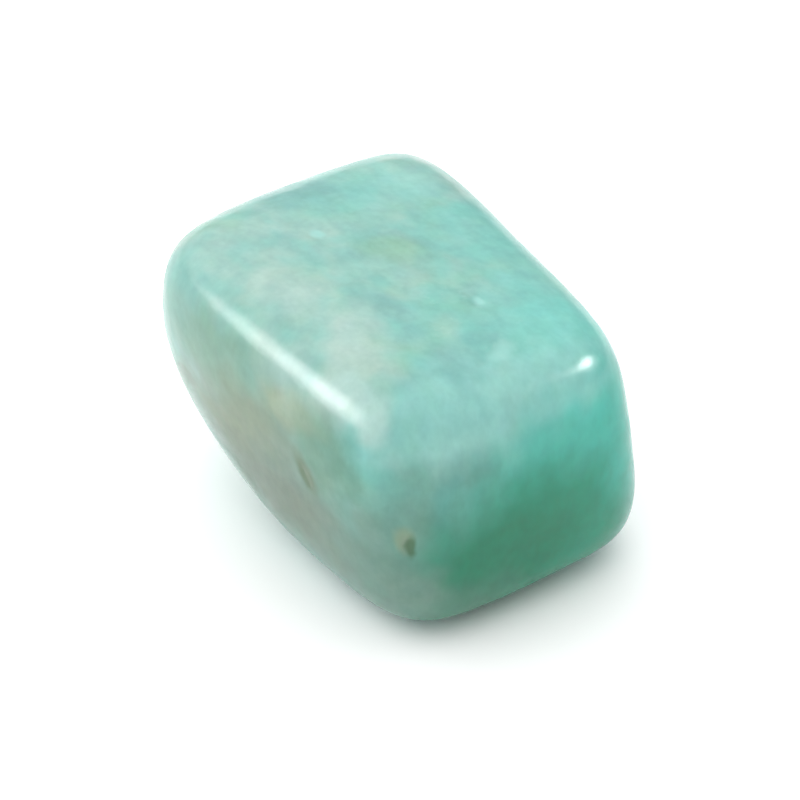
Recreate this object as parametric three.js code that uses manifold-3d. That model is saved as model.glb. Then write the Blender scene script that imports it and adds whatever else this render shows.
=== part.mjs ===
// A tumbled amazonite: one lump of blue-green feldspar whose broken faces are worn to low crowns
// and whose edges are worn to smooth round ridges. Millimetres, +Z up, the long side along X.
// The stone rests on a small flat spot, and the middle of its box's underside is the origin.
import * as THREE from 'three';
import { mergeVertices } from 'three/addons/utils/BufferGeometryUtils.js';
import Module from 'manifold-3d';

const wasm = await Module();
wasm.setup();

// The stone's overall size.
const LENGTH = 24.4;
const WIDTH = 19.3;
const HEIGHT = 15.8;

// How much of the round underside the flat resting spot takes off.
const FLAT_DEPTH = 0.25;

// The facets of the round surface are about half a millimetre wide.
const SURFACE_DETAIL = 18;

// A higher power wears the edges less: 2 would make a ball, and 30 a sharp block.
const EDGE_POWER = 7;

// The faces of the broken lump before it was worn. A face looks along a bearing, counted from +X
// towards +Y, and a tilt above the horizon, both in degrees. Its reach is its distance from the
// middle of the stone, before the whole is brought to the size above.
const FACES = [
  { name: 'top', bearing: 84, tilt: 82, reach: 7.0 },
  { name: 'front', bearing: 271, tilt: -12, reach: 8.6 },
  { name: 'right end', bearing: 1, tilt: 0, reach: 9.5 },
  { name: 'back', bearing: 84, tilt: 8, reach: 8.5 },
  { name: 'left end', bearing: 182, tilt: 18, reach: 13.4 },
  { name: 'left front corner', bearing: 226, tilt: 4, reach: 15.0 },
  { name: 'underside', bearing: 0, tilt: -90, reach: 8.5 },
  { name: 'underside of the left end', bearing: 212, tilt: -46, reach: 11.2 },
  { name: 'right back corner', bearing: 50, tilt: 6, reach: 13.8 },
  { name: 'lower edge of the right end', bearing: 354, tilt: -45, reach: 13.0 },
  { name: 'upper edge of the front', bearing: 276, tilt: 38, reach: 12.1 },
  { name: 'upper edge of the right end', bearing: 359, tilt: 42, reach: 11.0 },
  { name: 'right front corner', bearing: 316, tilt: 4, reach: 12.4 },
  { name: 'lower edge of the back', bearing: 90, tilt: -42, reach: 12.2 },
  { name: 'lower edge of the front', bearing: 264, tilt: -42, reach: 12.6 },
];

// Shallow hollows where the wear ran deeper: a direction, a half width in degrees and a depth.
const HOLLOWS = [
  { name: 'on the top', bearing: 320, tilt: 62, halfWidth: 15, depth: 0.1 },
  { name: 'on the back', bearing: 102, tilt: -4, halfWidth: 20, depth: 0.35 },
  { name: 'on the left end', bearing: 190, tilt: -6, halfWidth: 19, depth: 0.2 },
  { name: 'under the right end', bearing: 20, tilt: -50, halfWidth: 16, depth: 0.15 },
];

// Long pits where a softer mineral has worn out: a place, the way out of the stone there, the way
// that the pit runs, its length, its width and its depth.
const PITS = [
  { at: [5.5, -9.05, 8.7], out: [0.06, -0.98, -0.16], along: [0.4, 0.2, -1], size: [1.9, 0.45, 0.13] },
  { at: [11.12, -7.08, 6.9], out: [0.79, -0.61, -0.04], along: [0.1, 0.1, 1], size: [1.4, 0.5, 0.15] },
];
const PIT_DETAIL = 3;

function direction(bearing, tilt) {
  const b = THREE.MathUtils.degToRad(bearing);
  const t = THREE.MathUtils.degToRad(tilt);
  return new THREE.Vector3(Math.cos(b) * Math.cos(t), Math.sin(b) * Math.cos(t), Math.sin(t));
}

// The worn surface's distance from the middle along one way out. Where one face is nearest, its
// plane decides. Where two or three are about as near, their shares add up and round the edge off.
function wornReach(wayOut) {
  let shares = 0;
  for (const face of FACES) {
    const nearness = wayOut.dot(direction(face.bearing, face.tilt)) / face.reach;
    shares += Math.max(0, nearness) ** EDGE_POWER;
  }
  let reach = shares ** (-1 / EDGE_POWER);
  for (const hollow of HOLLOWS) {
    const angle = THREE.MathUtils.radToDeg(wayOut.angleTo(direction(hollow.bearing, hollow.tilt)));
    reach -= hollow.depth * Math.exp(-((angle / hollow.halfWidth) ** 2));
  }
  return reach;
}

// Drops all but the positions, so that corners at the same place become one.
function positionsOnly(geometry) {
  geometry.deleteAttribute('normal');
  geometry.deleteAttribute('uv');
  return mergeVertices(geometry);
}

// The worn lump at its size, with its middle over the origin and its lowest point below the floor
// by what the flat spot takes off.
function wornLump() {
  const geometry = positionsOnly(new THREE.IcosahedronGeometry(1, SURFACE_DETAIL));
  const position = geometry.getAttribute('position');
  const point = new THREE.Vector3();
  for (let i = 0; i < position.count; i += 1) {
    point.fromBufferAttribute(position, i).normalize();
    point.multiplyScalar(wornReach(point));
    position.setXYZ(i, point.x, point.y, point.z);
  }
  geometry.computeBoundingBox();
  const size = geometry.boundingBox.getSize(new THREE.Vector3());
  geometry.scale(LENGTH / size.x, WIDTH / size.y, (HEIGHT + FLAT_DEPTH) / size.z);
  geometry.computeBoundingBox();
  const { min, max } = geometry.boundingBox;
  geometry.translate(-(min.x + max.x) / 2, -(min.y + max.y) / 2, -min.z - FLAT_DEPTH);
  return geometry;
}

// A block whose top is the floor: what it shares with the stone is worn away.
function underTheFloor() {
  const depth = 4 * FLAT_DEPTH;
  const geometry = new THREE.BoxGeometry(2 * LENGTH, 2 * WIDTH, depth);
  geometry.translate(0, 0, -depth / 2);
  return positionsOnly(geometry);
}

// A small long lens at a pit's place, lying along it, half in the stone and half out.
function pitLens(pit) {
  const [length, width, depth] = pit.size;
  const geometry = positionsOnly(new THREE.IcosahedronGeometry(1, PIT_DETAIL));
  geometry.scale(length / 2, width / 2, depth);
  const out = new THREE.Vector3(...pit.out).normalize();
  const across = new THREE.Vector3().crossVectors(out, new THREE.Vector3(...pit.along)).normalize();
  const along = new THREE.Vector3().crossVectors(across, out);
  geometry.applyMatrix4(new THREE.Matrix4().makeBasis(along, across, out));
  geometry.translate(...pit.at);
  return geometry;
}

function toSolid(geometry) {
  return new wasm.Manifold(new wasm.Mesh({
    numProp: 3,
    vertProperties: new Float32Array(geometry.getAttribute('position').array),
    triVerts: new Uint32Array(geometry.getIndex().array),
  }));
}

function toGeometry(solid) {
  const mesh = solid.getMesh();
  const geometry = new THREE.BufferGeometry();
  geometry.setAttribute('position', new THREE.BufferAttribute(mesh.vertProperties, 3));
  geometry.setIndex(new THREE.BufferAttribute(mesh.triVerts, 1));
  geometry.computeVertexNormals();
  return geometry;
}

function tumbledStone() {
  let solid = toSolid(wornLump()).subtract(toSolid(underTheFloor()));
  for (const pit of PITS) {
    solid = solid.subtract(toSolid(pitLens(pit)));
  }
  const polishedFeldspar = new THREE.MeshStandardMaterial({
    color: 0x8fcdbb,
    roughness: 0.16,
    metalness: 0,
  });
  const stone = new THREE.Mesh(toGeometry(solid), polishedFeldspar);
  stone.name = 'amazonite_stone';
  return stone;
}

const amazonite = new THREE.Group();
amazonite.add(tumbledStone());

export default amazonite;
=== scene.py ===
# %% [markdown]
# A tumbled amazonite, from a broken lump to a polished stone.
# The real stone starts as a sharp piece of feldspar and turns in a drum with grit for weeks, until
# its edges are round and its skin shines. This lesson goes the same way: a block is broken along
# flat faces, worn round, fitted to the CAD solid, pitted, and given its cloudy blue-green colour.

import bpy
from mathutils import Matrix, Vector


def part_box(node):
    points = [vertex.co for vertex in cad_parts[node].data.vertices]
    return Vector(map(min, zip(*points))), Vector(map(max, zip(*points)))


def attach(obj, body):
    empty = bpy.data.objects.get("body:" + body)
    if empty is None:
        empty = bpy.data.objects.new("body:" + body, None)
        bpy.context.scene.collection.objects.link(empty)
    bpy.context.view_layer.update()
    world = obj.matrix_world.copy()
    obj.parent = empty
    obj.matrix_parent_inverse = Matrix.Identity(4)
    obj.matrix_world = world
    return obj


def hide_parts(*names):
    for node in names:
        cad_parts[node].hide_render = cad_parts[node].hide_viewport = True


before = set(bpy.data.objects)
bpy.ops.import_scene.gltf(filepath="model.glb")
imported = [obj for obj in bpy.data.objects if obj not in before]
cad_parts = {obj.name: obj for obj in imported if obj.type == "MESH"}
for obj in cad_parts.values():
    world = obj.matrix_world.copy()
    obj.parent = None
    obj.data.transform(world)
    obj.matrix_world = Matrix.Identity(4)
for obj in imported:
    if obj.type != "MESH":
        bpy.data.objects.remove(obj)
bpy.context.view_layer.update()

# %% Tools and units
import math

import bpy
from mathutils import Matrix, Vector

MM = 0.001
STONE_NODE = "amazonite_stone"


def direction(bearing, tilt):
    """A unit vector from a bearing, counted from +X towards +Y, and a tilt above the horizon."""
    b, t = math.radians(bearing), math.radians(tilt)
    return Vector((math.cos(b) * math.cos(t), math.sin(b) * math.cos(t), math.sin(t)))


def select_only(thing):
    """Makes one object the only selected one, because operators act on all that is selected."""
    bpy.ops.object.select_all(action="DESELECT")
    thing.select_set(True)
    bpy.context.view_layer.objects.active = thing


def finish_with(thing, kind, **settings):
    """Adds a modifier of one kind with its settings, and applies it."""
    select_only(thing)
    modifier = thing.modifiers.new(kind.lower(), kind)
    for name, value in settings.items():
        setattr(modifier, name, value)
    bpy.ops.object.modifier_apply(modifier=modifier.name)


def sides(thing):
    """The lowest corner and the size of a mesh, in metres."""
    points = [vertex.co for vertex in thing.data.vertices]
    low = Vector([min(point[axis] for point in points) for axis in range(3)])
    high = Vector([max(point[axis] for point in points) for axis in range(3)])
    return low, high - low


# %% [markdown]
# The camera comes first, because everything else is judged through it.
# The stone was photographed from 37 degrees above the table with a long lens. A long lens from
# 0.4 m keeps the stone's far edges nearly parallel, as they are in the photograph.

# %% Camera
CAMERA_AZIMUTH = 54
CAMERA_ELEVATION = 37
CAMERA_DISTANCE = 400 * MM
CAMERA_LENS = 365
CAMERA_CLIP_START = 10 * MM
AIM = Vector((2.25, -1.0, 7.8)) * MM

towards_camera = direction(CAMERA_AZIMUTH - 90, CAMERA_ELEVATION)
bpy.ops.object.camera_add(location=AIM + towards_camera * CAMERA_DISTANCE)
camera = bpy.context.object
camera.name = "camera"
camera.rotation_euler = (-towards_camera).to_track_quat("-Z", "Y").to_euler()
camera.data.lens = CAMERA_LENS
camera.data.clip_start = CAMERA_CLIP_START
bpy.context.scene.camera = camera
print("camera at", [round(v, 3) for v in camera.location])

# %% [markdown]
# First the rough lump. Amazonite splits along flat planes, so a piece of it is a skewed block.
# A sphere with noise would make a potato, not this stone. A cube that is cut by planes keeps the
# flat faces and the leaning edges that can still be read in the finished stone.
# Each break is a plane: the bearing and tilt that it faces, and its distance from the stone's
# middle in millimetres.

# %% Break a block along flat faces
STONE_MIDDLE = Vector((2.8, -0.25, 8.0)) * MM
BREAKS = {
    "top": (84, 82, 7.2),
    "front": (271, -12, 8.8),
    "right end": (1, 0, 9.6),
    "back": (84, 8, 8.8),
    "left end": (182, 18, 13.6),
    "left front corner": (226, 4, 14.8),
    "underside": (0, -90, 8.2),
    "underside of the left end": (212, -46, 11.2),
    "right back corner": (50, 6, 12.6),
    "lower edge of the right end": (354, -45, 11.8),
    "upper edge of the front": (276, 38, 10.2),
    "upper edge of the right end": (359, 42, 10.2),
    "right front corner": (316, 4, 11.2),
    "lower edge of the back": (90, -42, 10.8),
    "lower edge of the front": (264, -42, 10.2),
}
BLOCK_SIDE = 34 * MM

bpy.ops.object.select_all(action="DESELECT")
bpy.ops.mesh.primitive_cube_add(size=BLOCK_SIDE, location=STONE_MIDDLE)
stone = bpy.context.object
stone.name = "tumbled_amazonite"
bpy.ops.object.transform_apply(location=True, rotation=True, scale=True)
bpy.ops.object.mode_set(mode="EDIT")
for bearing, tilt, reach in BREAKS.values():
    way = direction(bearing, tilt)
    bpy.ops.mesh.select_all(action="SELECT")
    bpy.ops.mesh.bisect(
        plane_co=STONE_MIDDLE + way * reach * MM,
        plane_no=way,
        use_fill=True,
        clear_outer=True,
    )
bpy.ops.mesh.select_all(action="SELECT")
bpy.ops.mesh.normals_make_consistent(inside=False)
bpy.ops.object.mode_set(mode="OBJECT")
print("faces of the rough lump:", len(stone.data.polygons))

# %% [markdown]
# Now the drum. Grit wears a sharp edge quickly and a flat face slowly, which is what smoothing
# does to a fine even mesh. A voxel remesh gives that mesh, because the cut block has only a few
# huge faces. Each round of smoothing moves every point half of the way to its neighbours' middle.
# A Bevel would round every edge by the same radius, and a worn stone never has that.

# %% Wear the edges round
WEAR_GRAIN = 0.3 * MM
WEAR_ROUNDS = 60
SMOOTH_SHARE = 0.5

finish_with(stone, "REMESH", mode="VOXEL", voxel_size=WEAR_GRAIN)
finish_with(stone, "SMOOTH", factor=SMOOTH_SHARE, iterations=WEAR_ROUNDS)
print("size after wearing, mm:", [round(v / MM, 2) for v in sides(stone)[1]])

# %% [markdown]
# The worn lump has the right character, but the CAD solid sets the true shape and size.
# A Shrinkwrap lays the lump's even mesh on it. The solid's own facets are half a millimetre wide
# and would show in a polished skin, so the lump is laid on a copy that is remeshed and smoothed.

# %% Fit the lump to the CAD solid
FORM_GRAIN = 0.2 * MM
FORM_ROUNDS = 14
MERGE_WITHIN = 0.001 * MM

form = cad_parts[STONE_NODE].copy()
form.data = form.data.copy()
form.parent = None
form.name = "form"
bpy.context.collection.objects.link(form)
select_only(form)
bpy.ops.object.mode_set(mode="EDIT")
bpy.ops.mesh.select_all(action="SELECT")
bpy.ops.mesh.remove_doubles(threshold=MERGE_WITHIN)
bpy.ops.object.mode_set(mode="OBJECT")
finish_with(form, "REMESH", mode="VOXEL", voxel_size=FORM_GRAIN)
finish_with(form, "SMOOTH", factor=SMOOTH_SHARE, iterations=FORM_ROUNDS)
finish_with(stone, "SHRINKWRAP", wrap_method="TARGET_PROJECT", target=form)
print("size on the form, mm:", [round(v / MM, 2) for v in sides(stone)[1]])

# %% [markdown]
# Two long pits show where a softer mineral has worn out of the front and of the near corner, and
# three shallow dents are left on the top. Each is cut with a lens-shaped tool: a sphere that is
# squashed, turned to face out of the stone and set half into it.
# Painting them as bumps would be quicker, but a pit has to break the light along its rim.
# A pit is given by its place, the way out of the stone there, the way that it runs, and its
# length, width and depth in millimetres.

# %% Cut the pits and dents
PITS = {
    "pit in the front": ((5.5, -9.05, 8.7), (0.06, -0.98, -0.16), (0.4, 0.2, -1), (1.9, 0.42, 0.16)),
    "pit in the near corner": ((11.12, -7.08, 6.9), (0.79, -0.61, -0.04), (0.1, 0.1, 1), (1.5, 0.52, 0.24)),
    "dent on the left of the top": ((-2.9, -2.5, 15.43), (0, 0.13, 0.99), (1, 0, 0), (1.0, 0.8, 0.06)),
    "dent on the middle of the top": ((5.55, 1.15, 14.81), (0.04, 0.14, 0.99), (1, 0, 0), (0.9, 0.8, 0.07)),
    "dent by the right end": ((9.2, -0.35, 14.56), (0.28, 0.1, 0.95), (0, 1, 0), (1.4, 0.8, 0.06)),
}
PIT_ROUNDNESS = 4


def cut_pit(body, place, out, along, size):
    """Cuts one lens-shaped pit out of a body."""
    out = Vector(out).normalized()
    across = out.cross(Vector(along)).normalized()
    along = across.cross(out)
    length, width, depth = size
    bpy.ops.object.select_all(action="DESELECT")
    bpy.ops.mesh.primitive_ico_sphere_add(subdivisions=PIT_ROUNDNESS, radius=MM)
    tool = bpy.context.object
    turn = Matrix((along, across, out)).transposed().to_4x4()
    squash = Matrix.Diagonal((length / 2, width / 2, depth, 1))
    tool.matrix_world = Matrix.Translation(Vector(place) * MM) @ turn @ squash
    finish_with(body, "BOOLEAN", operation="DIFFERENCE", object=tool, solver="EXACT")
    bpy.data.objects.remove(tool)


for name, (place, out, along, size) in PITS.items():
    cut_pit(stone, place, out, along, size)
    print("cut the", name)

# %% [markdown]
# A last fine remesh and a few rounds of smoothing stand for the polish: they soften the rims of
# the pits and take out the last trace of the voxels. Then a very shallow swell is pressed in.
# No tumbled face is truly even, and the swell makes the long highlights waver as real ones do.

# %% Polish
POLISH_GRAIN = 0.15 * MM
POLISH_ROUNDS = 7
SWELL_WIDTH = 3.4 * MM
SWELL_DEPTH = 0.07 * MM

finish_with(stone, "REMESH", mode="VOXEL", voxel_size=POLISH_GRAIN)
finish_with(stone, "SMOOTH", factor=SMOOTH_SHARE, iterations=POLISH_ROUNDS)
swell = bpy.data.textures.new("swell", "CLOUDS")
swell.noise_scale = SWELL_WIDTH
swell.noise_depth = 1
finish_with(
    stone, "DISPLACE", texture=swell, texture_coords="LOCAL", strength=SWELL_DEPTH, mid_level=0.5
)
bpy.data.objects.remove(form)
triangle_count = sum(len(face.vertices) - 2 for face in stone.data.polygons)
print("triangles:", triangle_count)

# %% [markdown]
# Smoothing shrinks a mesh a little and the swell lifts it a little. The stone is brought back to
# the CAD box in edit mode, side by side, so that it still rests on the table with its flat spot.

# %% Bring the stone back to its size
cad_low, cad_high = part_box(STONE_NODE)
low, size = sides(stone)
stretch = [(cad_high[axis] - cad_low[axis]) / size[axis] for axis in range(3)]
select_only(stone)
bpy.ops.object.mode_set(mode="EDIT")
bpy.ops.mesh.select_all(action="SELECT")
bpy.ops.transform.resize(value=stretch, center_override=low)
bpy.ops.transform.translate(value=cad_low - low)
bpy.ops.object.mode_set(mode="OBJECT")
bpy.ops.object.shade_smooth()
print("stretched by", [round(v, 4) for v in stretch])

# %% [markdown]
# Amazonite's colour lies in the stone, not on it, so the pattern has to run through all faces.
# An image wrapped round the stone would show seams and stretch. The material is built from node
# sums instead, and these helpers place the nodes and link them, one kind of step each.


# %% Links and sums
LIGHT_LEVEL = 1.45


def from_screen(red, green, blue):
    """A colour as it is seen on screen, 0 to 255, turned to the linear values that shaders use.

    The light on the table is stronger than full white, so each colour is divided by its level.
    """
    shares = [value / 255 for value in (red, green, blue)]
    linear = [v / 12.92 if v <= 0.04045 else ((v + 0.055) / 1.055) ** 2.4 for v in shares]
    return (*(value / LIGHT_LEVEL for value in linear), 1)


def feed(tree, source, socket):
    """Links a socket, or sets a plain value."""
    if isinstance(source, bpy.types.NodeSocket):
        tree.links.new(source, socket)
    else:
        socket.default_value = source


def arithmetic(tree, operation, first, second=0.0, clamp=False):
    """One step with two numbers, such as ADD or MULTIPLY."""
    node = tree.nodes.new("ShaderNodeMath")
    node.operation = operation
    node.use_clamp = clamp
    feed(tree, first, node.inputs[0])
    feed(tree, second, node.inputs[1])
    return node.outputs[0]


def vector_step(tree, operation, first, second):
    """One step with two vectors or colours, which gives a vector, or a number for a length."""
    node = tree.nodes.new("ShaderNodeVectorMath")
    node.operation = operation
    feed(tree, first, node.inputs[0])
    feed(tree, second, node.inputs[1])
    return node.outputs["Value" if operation in ("LENGTH", "DOT_PRODUCT") else "Vector"]


def times_number(tree, first, second):
    """Multiplies two shares and keeps the product between 0 and 1."""
    return arithmetic(tree, "MULTIPLY", first, second, clamp=True)


def times(tree, colour, factor):
    """Multiplies a colour by a number or by another colour."""
    return vector_step(tree, "MULTIPLY", colour, factor)


print("light level:", LIGHT_LEVEL)

# %% [markdown]
# The patterns come from solid noise on Object coordinates. They are turned to millimetres first,
# so every width below can be read off the real stone. Most values of a noise lie between 0.3 and
# 0.7, so that span is the one that is spread out. A soft ellipsoid does for a single mark.


# %% Patterns
NOISE_SPAN = (0.3, 0.7)
PATCH_CORE = 0.3


def noise(tree, where, width, detail=2.0, roughness=0.5):
    """Solid noise whose lumps are about width millimetres across."""
    node = tree.nodes.new("ShaderNodeTexNoise")
    feed(tree, where, node.inputs["Vector"])
    node.inputs["Scale"].default_value = 1 / width
    node.inputs["Detail"].default_value = detail
    node.inputs["Roughness"].default_value = roughness
    return node


def between(tree, value, low, high, to_low=0.0, to_high=1.0):
    """Turns the range low to high into to_low to to_high, with soft ends."""
    node = tree.nodes.new("ShaderNodeMapRange")
    node.interpolation_type = "SMOOTHSTEP"
    feed(tree, value, node.inputs["Value"])
    for name, number in zip(("From Min", "From Max", "To Min", "To Max"), (low, high, to_low, to_high)):
        node.inputs[name].default_value = number
    return node.outputs["Result"]


def mixed(tree, share, first, second):
    """Mixes two colours: a share of 0 gives the first and 1 the second."""
    node = tree.nodes.new("ShaderNodeMix")
    node.data_type = "RGBA"
    feed(tree, share, node.inputs["Factor"])
    feed(tree, first, node.inputs["A"])
    feed(tree, second, node.inputs["B"])
    return node.outputs["Result"]


def moved(tree, where, centre=(0, 0, 0), turn=(0, 0, 0), stretch=(1, 1, 1)):
    """Coordinates counted from a centre, then turned, then divided by a stretch on each axis."""
    node = tree.nodes.new("ShaderNodeMapping")
    node.vector_type = "TEXTURE"
    feed(tree, where, node.inputs["Vector"])
    node.inputs["Location"].default_value = centre
    node.inputs["Rotation"].default_value = [math.radians(angle) for angle in turn]
    node.inputs["Scale"].default_value = stretch
    return node.outputs["Vector"]


def patch(tree, where, centre, reach, turn):
    """1 around a centre and 0 beyond its reach on each axis, in millimetres, soft in between."""
    local = moved(tree, where, centre, turn, reach)
    distance = vector_step(tree, "LENGTH", local, (0, 0, 0))
    return between(tree, distance, PATCH_CORE, 1.0, 1.0, 0.0)


print("a patch is full within", PATCH_CORE, "of its reach")


# %% [markdown]
# The body colour. A tumbled amazonite is never one green. Seen closely, it is a pale blue-green
# that turns greyer to one side and clearer to the other, with soft clouds about two millimetres
# wide that lean to leaf green, slate blue, milky white or clear turquoise. The clouds are drawn
# out upwards, along the crystal's growth, so they are round on the top and streaks on the sides.
# Each is one solid noise, bent by a slower noise so that no edge looks like a formula. A cloud is
# given by its colour, its strength, a shift that keeps it apart from the others, its width, and
# the values of the noise between which it fades in.

# %% Body colour
COLOURS = {
    "pale": from_screen(154, 201, 190),
    "clear": from_screen(120, 202, 191),
    "leaf": from_screen(140, 196, 168),
    "jade": from_screen(84, 178, 163),
    "bay": from_screen(30, 198, 180),
    "slate": from_screen(117, 182, 176),
    "milk": from_screen(188, 213, 202),
    "mint": from_screen(124, 218, 207),
    "aqua": from_screen(164, 228, 219),
    "lagoon": from_screen(84, 211, 194),
    "shaded deep green": from_screen(0, 157, 123),
    "shaded bottle green": from_screen(6, 136, 99),
    "ash": from_screen(126, 160, 146),
    "sage": from_screen(108, 152, 135),
    "teal": from_screen(84, 156, 140),
    "sea": from_screen(126, 175, 151),
    "tan": from_screen(130, 150, 119),
    "lichen": from_screen(170, 187, 157),
    "grey": from_screen(114, 135, 115),
    "seam": from_screen(98, 152, 122),
    "olive": from_screen(97, 124, 86),
    "umber": from_screen(112, 124, 100),
    "moss": from_screen(66, 114, 74),
    "straw": from_screen(176, 174, 126),
    "pearl": from_screen(198, 232, 223),
}


CLOUDS = (
    ("leaf", 0.4, (20, 0, 0), 2.8, 0.42, 0.68),
    ("slate", 0.42, (0, 30, 0), 2.3, 0.42, 0.7),
    ("milk", 0.26, (0, 0, 40), 2.1, 0.46, 0.74),
    ("clear", 0.4, (50, 0, 0), 1.6, 0.42, 0.7),
)
print("colours:", len(COLOURS), "clouds:", len(CLOUDS))

# %% [markdown]
# The ground colour turns from pale to clear along the stone, from the left front to the right back,
# with a drift in it so that the turn is no straight line. The clouds lie over it, and last come
# thin pearly wisps that follow the growth, a tenth strong at most and only in some places.

# %% Ground, clouds and wisps
BEND_WIDTH = 4.5
BEND_REACH = 1.3
TURN_WAY = (0.85, 0.5, 0)
TURN_FROM, TURN_TO = -6, 9
DRIFT_WIDTH = 4.0
DRIFT_REACH = 4
CLOUD_STRETCH = (1, 1, 2)
WISP_TURN = (8, -14, 0)
WISP_STRETCH = (1, 1.5, 3)
WISP_WIDTH = 0.3
WISP_FADE = (0.54, 0.76)
SPREAD_WIDTH = 3.0
SPREAD_FADE = (0.45, 0.65)
SPREAD_SHIFT = (0, 70, 0)
WISP_STRENGTH = 0.1


def shaken(tree, where, width, amount):
    """Coordinates shaken by a noise of that width, by up to half the amount, in millimetres."""
    shake = noise(tree, where, width, detail=1).outputs["Color"]
    shake = vector_step(tree, "SUBTRACT", shake, (0.5, 0.5, 0.5))
    return vector_step(tree, "ADD", where, vector_step(tree, "MULTIPLY", shake, (amount,) * 3))


def ground_colour(tree, bent):
    """The slow turn from pale to clear."""
    across = vector_step(tree, "DOT_PRODUCT", bent, TURN_WAY)
    drift = noise(tree, bent, DRIFT_WIDTH, detail=2).outputs["Fac"]
    turn = arithmetic(tree, "ADD", across, between(tree, drift, *NOISE_SPAN, -DRIFT_REACH, DRIFT_REACH))
    return mixed(tree, between(tree, turn, TURN_FROM, TURN_TO), COLOURS["pale"], COLOURS["clear"])


def with_clouds(tree, colour, bent):
    """Lays the clouds over a colour, drawn out along the growth."""
    drawn_out = moved(tree, bent, stretch=CLOUD_STRETCH)
    for name, strength, shift, width, low, high in CLOUDS:
        cloud = noise(tree, moved(tree, drawn_out, shift), width, detail=1, roughness=0.45)
        share = between(tree, cloud.outputs["Fac"], low, high, 0, strength)
        colour = mixed(tree, share, colour, COLOURS[name])
    return colour


def with_wisps(tree, colour, bent):
    """Lays the thin pearly wisps over a colour."""
    along_growth = moved(tree, bent, turn=WISP_TURN, stretch=WISP_STRETCH)
    wisps = noise(tree, along_growth, WISP_WIDTH, detail=3, roughness=0.6).outputs["Fac"]
    spread = noise(tree, moved(tree, bent, SPREAD_SHIFT), SPREAD_WIDTH, detail=2).outputs["Fac"]
    share = times_number(tree, between(tree, wisps, *WISP_FADE), between(tree, spread, *SPREAD_FADE))
    return mixed(tree, times_number(tree, share, WISP_STRENGTH), colour, COLOURS["pearl"])


print("the clouds bend by up to", BEND_REACH / 2, "mm")
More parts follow.
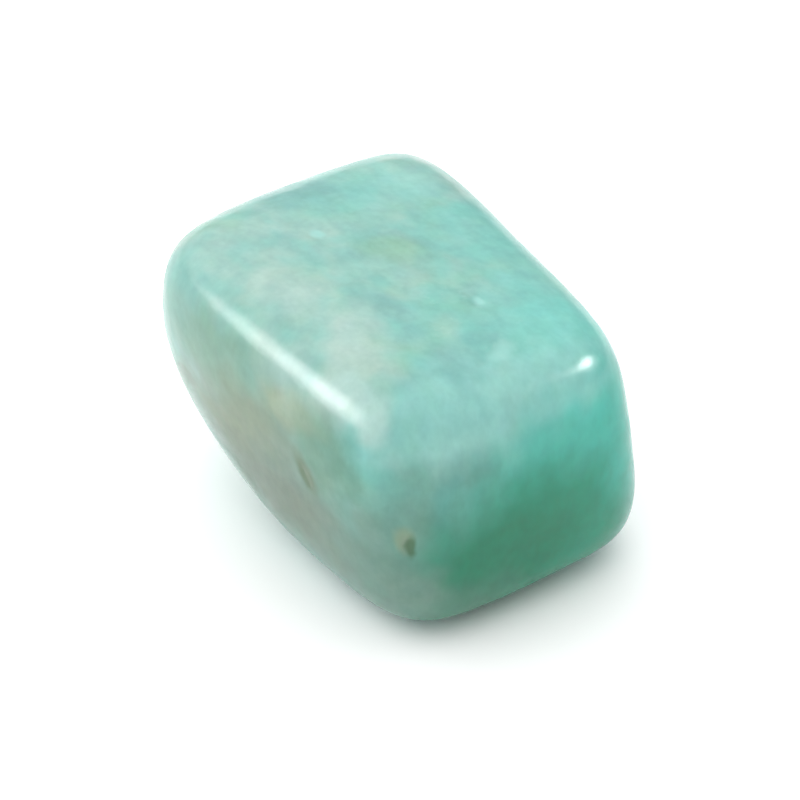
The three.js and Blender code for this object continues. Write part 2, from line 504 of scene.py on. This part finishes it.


# %% [markdown]
# Then come the marks that make it this stone and no other, and some painted light and shade. The right end
# deepens from lagoon to a dark bottle green low down. That deep green is partly the stone's own colour and
# partly painted shade, which darkens the right end towards the table. The foot of the near corner is sage,
# which is also partly painted shade. The front is stained tan and grey. A milky patch lies along the front
# ridge; it is partly milky stone and partly a painted glow where the highlight streak on that ridge fades.
# A pale aqua band along the ridge between the top and the right end is painted light. Each is a soft
# ellipsoid at its place in millimetres, so it sinks into the stone and also shows rightly from the other
# sides. A mark is given by its colour, its strength, its centre, its reach on each axis and its turn in
# degrees. The flecks are the smallest marks: the dark fillings of the two pits and a few light spots.

# %% Marks of this stone, and painted light and shade
MARKS = (
    ("clear", 0.8, (2.0, 6.6, 13.8), (5.5, 4.5, 3.5), (0, 0, 0)),
    ("clear", 0.6, (-6.0, 1.4, 14.6), (5.5, 4.5, 3.0), (0, 0, 0)),
    ("mint", 0.7, (9.5, 5.0, 14.0), (5.5, 6.0, 4.5), (0, 0, 0)),
    ("jade", 0.7, (2.5, 10.4, 10.5), (12.0, 5.2, 8.5), (0, 0, 0)),
    ("aqua", 0.4, (-5.2, 4.6, 14.4), (3.0, 2.4, 2.0), (0, 0, 0)),
    ("slate", 0.7, (-7.3, -0.9, 14.8), (3.6, 3.2, 3.0), (0, 0, 0)),
    # Painted light: a pale aqua band along the ridge between the top and the right end, so that the ridge
    # looks as brightly lit as the top.
    ("aqua", 0.85, (10.5, -1.6, 13.0), (3.4, 10.5, 3.0), (0, 0, -8)),
    # Partly painted shade: sage at the foot of the near corner, darker and greyer towards the table.
    ("sage", 0.9, (8.5, -9.0, 3.0), (7.5, 5.0, 8.5), (0, 0, 0)),
    ("slate", 0.5, (8.6, -2.6, 14.9), (2.2, 1.9, 1.6), (0, 0, 0)),
    ("slate", 0.35, (3.4, -3.4, 15.4), (2.2, 1.7, 1.6), (0, 0, 20)),
    ("teal", 0.6, (12.0, -4.0, 8.6), (4.0, 4.6, 4.4), (0, 0, 0)),
    ("sage", 0.55, (11.0, -7.2, 7.6), (2.8, 2.8, 4.6), (0, 0, 0)),
    ("lagoon", 1.0, (13.0, 3.8, 9.0), (5.0, 9.4, 5.4), (0, 0, 0)),
    # Partly painted shade: the right end's own deep green, made darker low down towards the table.
    ("shaded deep green", 1.25, (12.8, 0.3, 3.4), (7.5, 9.4, 8.8), (6, 0, 0)),
    ("bay", 0.55, (12.0, 6.4, 8.2), (4.0, 4.0, 5.0), (0, 0, 0)),
    ("shaded deep green", 0.15, (12.0, 6.4, 8.2), (4.0, 4.0, 5.0), (0, 0, 0)),
    # Partly painted shade: bottle green low on the right end, darker towards the table.
    ("shaded bottle green", 0.9, (12.4, -2.4, 4.2), (6.5, 7.5, 5.2), (10, 0, 0)),
    ("sage", 0.4, (11.6, -4.4, 2.0), (4.0, 5.0, 2.8), (0, 0, 0)),
    ("ash", 0.7, (10.9, -6.6, 3.4), (2.8, 2.8, 3.4), (0, 0, 0)),
    ("milk", 0.65, (5.8, -6.3, 15.5), (4.8, 2.4, 2.6), (0, 0, -36)),
    ("milk", 0.35, (0.4, -6.2, 15.6), (4.8, 2.1, 2.0), (0, 0, -10)),
    # Partly painted highlight: a pearly glow where the highlight streak along the front ridge fades.
    ("pearl", 0.75, (8.6, -7.8, 14.0), (2.9, 2.0, 1.7), (0, 0, 0)),
    ("milk", 0.3, (3.8, -8.6, 14.2), (7.0, 1.6, 1.6), (0, 8, 0)),
    ("sea", 0.8, (-1.8, -9.8, 12.3), (7.4, 2.8, 3.2), (0, -8, 0)),
    ("clear", 0.35, (-6.2, -8.8, 12.4), (3.4, 2.2, 2.6), (0, 0, 0)),
    ("grey", 0.95, (1.7, -9.8, 5.4), (8.8, 5.6, 6.0), (0, 14, 0)),
    ("lichen", 0.75, (4.8, -9.4, 12.5), (3.4, 2.2, 2.0), (0, -10, 0)),
    ("tan", 0.85, (0.6, -10.0, 9.3), (7.8, 3.2, 3.7), (0, -20, 0)),
    ("grey", 0.4, (5.4, -9.1, 8.4), (3.0, 2.4, 4.2), (0, -20, 0)),
    ("sage", 0.22, (-0.1, 0.4, 15.0), (3.2, 2.3, 1.6), (0, 0, 30)),
    ("leaf", 0.55, (-0.1, 0.2, 15.0), (2.4, 1.6, 1.6), (0, 0, 30)),
    ("seam", 0.65, (7.3, -9.2, 10.8), (2.7, 2.2, 3.4), (0, -14, 0)),
    ("umber", 0.4, (-5.0, -9.0, 8.0), (1.6, 1.0, 0.8), (0, -25, 0)),
)
FLECKS = (
    ("aqua", 0.6, (-2.9, -2.3, 15.43), (0.55, 0.45, 0.6), (0, 0, 0)),
    ("aqua", 0.6, (5.5, 1.35, 14.81), (0.5, 0.42, 0.6), (0, 0, 0)),
    ("aqua", 0.6, (9.2, 0.0, 14.56), (0.8, 1.3, 0.6), (0, 0, 20)),
    ("pearl", 0.5, (7.7, -8.4, 14.25), (0.55, 0.5, 0.5), (0, 0, 0)),
    ("olive", 0.8, (5.5, -9.1, 8.9), (0.9, 0.9, 1.9), (0, -22, 0)),
    ("straw", 0.35, (11.0, -7.15, 7.4), (0.75, 0.7, 1.2), (0, 0, 0)),
    ("moss", 0.85, (11.24, -6.9, 6.95), (0.42, 0.42, 1.05), (0, 0, 0)),
)


def with_marks(tree, colour, where, marks):
    """Lays marks over a colour, one after the other."""
    for name, strength, centre, reach, turn in marks:
        share = times_number(tree, patch(tree, where, centre, reach, turn), strength)
        colour = mixed(tree, share, colour, COLOURS[name])
    return colour


print("marks:", len(MARKS), "flecks:", len(FLECKS))

# %% [markdown]
# The skin. Polished feldspar has a refractive index of 1.53 and a gloss that is bright but not
# glassy. Light also enters the stone and comes out again about a millimetre away, which softens
# the shadows in it, so the shader scatters light below the surface. Over the colour lies a fine
# grain, which also tints it a little from place to place, as real crystal grains do. The gloss is
# a little under its full strength, and its roughness varies, because the drum leaves scratches too
# fine to see. A very shallow ripple keeps the highlights from looking drawn with a ruler.

# %% Material
REFRACTIVE_INDEX = 1.53
GLOSS_SHARE = 0.42
SCATTER_SHARE = 0.3
SCATTER_REACH = 1.1 * MM
SCATTER_BY_COLOUR = (0.5, 1.0, 0.9)
POLISH_WIDTH = 1.0
SMOOTHEST, DULLEST = 0.15, 0.27
RIPPLE_WIDTH = 1.2
RIPPLE_DEPTH = 0.009 * MM
MARK_FRAY = (2.2, 2.0)
FLECK_FRAY = (0.8, 0.4)
MOTTLE_WIDTH = 1.1
MOTTLE_SHADES = (0.95, 1.05)
GRAIN_WIDTH = 0.4
GRAIN_SHADES = (0.97, 1.03)
GRAIN_TINT = (0.1, 0.06, 0.1)


def with_grain(tree, colour, where):
    """Lightens and darkens a colour by soft mottles and fine grains, and tints it very slightly."""
    mottles = noise(tree, where, MOTTLE_WIDTH, detail=2, roughness=0.5)
    colour = times(tree, colour, between(tree, mottles.outputs["Fac"], *NOISE_SPAN, *MOTTLE_SHADES))
    drawn_out = moved(tree, where, stretch=CLOUD_STRETCH)
    grains = noise(tree, drawn_out, GRAIN_WIDTH, detail=3, roughness=0.55)
    colour = times(tree, colour, between(tree, grains.outputs["Fac"], *NOISE_SPAN, *GRAIN_SHADES))
    tint = vector_step(tree, "SUBTRACT", mottles.outputs["Color"], (0.5, 0.5, 0.5))
    tint = vector_step(tree, "MULTIPLY", tint, GRAIN_TINT)
    return times(tree, colour, vector_step(tree, "ADD", tint, (1, 1, 1)))


def polished_amazonite():
    """The stone's whole material, on Object coordinates in millimetres."""
    material = bpy.data.materials.new("polished_amazonite")
    material.use_nodes = True
    tree = material.node_tree
    skin = tree.nodes["Principled BSDF"]
    place = tree.nodes.new("ShaderNodeTexCoord").outputs["Object"]
    where = vector_step(tree, "MULTIPLY", place, (1 / MM, 1 / MM, 1 / MM))
    bent = shaken(tree, where, BEND_WIDTH, BEND_REACH)
    colour = with_clouds(tree, ground_colour(tree, bent), bent)
    colour = with_wisps(tree, colour, bent)
    colour = with_marks(tree, colour, shaken(tree, bent, *MARK_FRAY), MARKS)
    colour = with_grain(tree, colour, where)
    colour = with_marks(tree, colour, shaken(tree, where, *FLECK_FRAY), FLECKS)
    feed(tree, colour, skin.inputs["Base Color"])
    polish = noise(tree, where, POLISH_WIDTH, detail=0).outputs["Fac"]
    feed(tree, between(tree, polish, *NOISE_SPAN, SMOOTHEST, DULLEST), skin.inputs["Roughness"])
    skin.inputs["IOR"].default_value = REFRACTIVE_INDEX
    skin.inputs["Specular IOR Level"].default_value = GLOSS_SHARE
    skin.inputs["Subsurface Weight"].default_value = SCATTER_SHARE
    skin.inputs["Subsurface Radius"].default_value = SCATTER_BY_COLOUR
    skin.inputs["Subsurface Scale"].default_value = SCATTER_REACH
    ripple = noise(tree, where, RIPPLE_WIDTH, detail=0).outputs["Fac"]
    bump = tree.nodes.new("ShaderNodeBump")
    bump.inputs["Strength"].default_value = 1.0
    bump.inputs["Distance"].default_value = RIPPLE_DEPTH
    feed(tree, ripple, bump.inputs["Height"])
    feed(tree, bump.outputs["Normal"], skin.inputs["Normal"])
    return material


stone.data.materials.clear()
stone.data.materials.append(polished_amazonite())
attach(stone, "root")
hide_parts(STONE_NODE)
print("material nodes:", len(stone.data.materials[0].node_tree.nodes))

# %% [markdown]
# The stage is a white table in a light tent. A hard-edged lamp above would draw its own outline as
# a band across the polished top, so the main light is a glow in the sky itself, nearly overhead and
# a little to the back left, that fades in all directions. The low sky stays dim, which keeps the
# stone's sides deep in colour. All of it is stronger than full white needs, so the table comes out
# plain white and only a soft shadow is left under the stone.

# %% Table and sky
TABLE_SIDE = 1.2
TABLE_WHITE = 0.95
TABLE_ROUGHNESS = 0.9
TABLE_GLOSS = 0.1
SKY_DIM = 0.56
SKY_GLOW = 2.1
GLOW_WAY = direction(200, 70)
GLOW_FADES_FROM = 0.1

bpy.ops.object.select_all(action="DESELECT")
bpy.ops.mesh.primitive_plane_add(size=TABLE_SIDE)
table = bpy.context.object
table.name = "table"
paper = bpy.data.materials.new("white_paper")
paper.use_nodes = True
paper_skin = paper.node_tree.nodes["Principled BSDF"]
paper_skin.inputs["Base Color"].default_value = (TABLE_WHITE, TABLE_WHITE, TABLE_WHITE, 1)
paper_skin.inputs["Roughness"].default_value = TABLE_ROUGHNESS
paper_skin.inputs["Specular IOR Level"].default_value = TABLE_GLOSS
table.data.materials.append(paper)

world = bpy.context.scene.world or bpy.data.worlds.new("sky")
bpy.context.scene.world = world
world.use_nodes = True
sky = world.node_tree
sky_way = sky.nodes.new("ShaderNodeTexCoord").outputs["Generated"]
nearness = sky.nodes.new("ShaderNodeVectorMath")
nearness.operation = "DOT_PRODUCT"
feed(sky, sky_way, nearness.inputs[0])
nearness.inputs[1].default_value = GLOW_WAY
glow = between(sky, nearness.outputs["Value"], GLOW_FADES_FROM, 1.0, SKY_DIM, SKY_GLOW)
sky.nodes["Background"].inputs["Color"].default_value = (1, 1, 1, 1)
feed(sky, glow, sky.nodes["Background"].inputs["Strength"])
print("the sky's strength runs from", SKY_DIM, "to", SKY_GLOW)

# %% [markdown]
# Softboxes make the highlights, and where they stand can be worked out: light that the camera sees
# mirrored at a place on the stone comes from the way that the surface there mirrors the camera to.
# A wide strip on the camera's left, higher at its near end, draws the streak along the front ridge.
# A small leaning box on the right makes the short bright comma. Each fades from its middle to its
# edges, as a lamp behind cloth does, so no highlight has a hard outline. They show in the gloss
# alone, because the sky already lights the stone. A box is given by its bearing, its tilt, its
# distance and size in millimetres, its roll and its power. So near, a few watts are enough.

# %% Softboxes
SOFTBOXES = {
    "strip": (255, 22, 300, (580, 360), 8, 7.9),
    "right": (59, 23, 300, (180, 92), 15, 1.9),
}


def softbox(name, bearing, tilt, distance, size, roll, power):
    """A light that is aimed at the stone and fades to its edges."""
    way = direction(bearing, tilt)
    bpy.ops.object.light_add(type="AREA", location=AIM + way * distance * MM)
    box = bpy.context.object
    box.name = "softbox_" + name
    turn = Matrix.Rotation(math.radians(roll), 3, way)
    level = way.to_track_quat("Z", "Y").to_matrix()
    box.rotation_euler = (turn @ level).to_euler()
    box.data.shape = "RECTANGLE"
    box.data.size, box.data.size_y = (side * MM for side in size)
    box.data.energy = power
    box.data.use_nodes = True
    cloth = box.data.node_tree
    across = cloth.nodes.new("ShaderNodeNewGeometry").outputs["Parametric"]
    from_middle = moved(cloth, across, centre=(0.5, 0.5, 0), stretch=(0.5, 0.5, 1))
    nearness = vector_step(cloth, "LENGTH", from_middle, (0, 0, 0))
    fade = between(cloth, nearness, 0.0, 1.0, 1.0, 0.0)
    feed(cloth, fade, cloth.nodes["Emission"].inputs["Strength"])
    box.visible_diffuse = False


for name, values in SOFTBOXES.items():
    softbox(name, *values)
print("softboxes:", list(SOFTBOXES))

bpy.context.scene.view_settings.view_transform = "Standard"
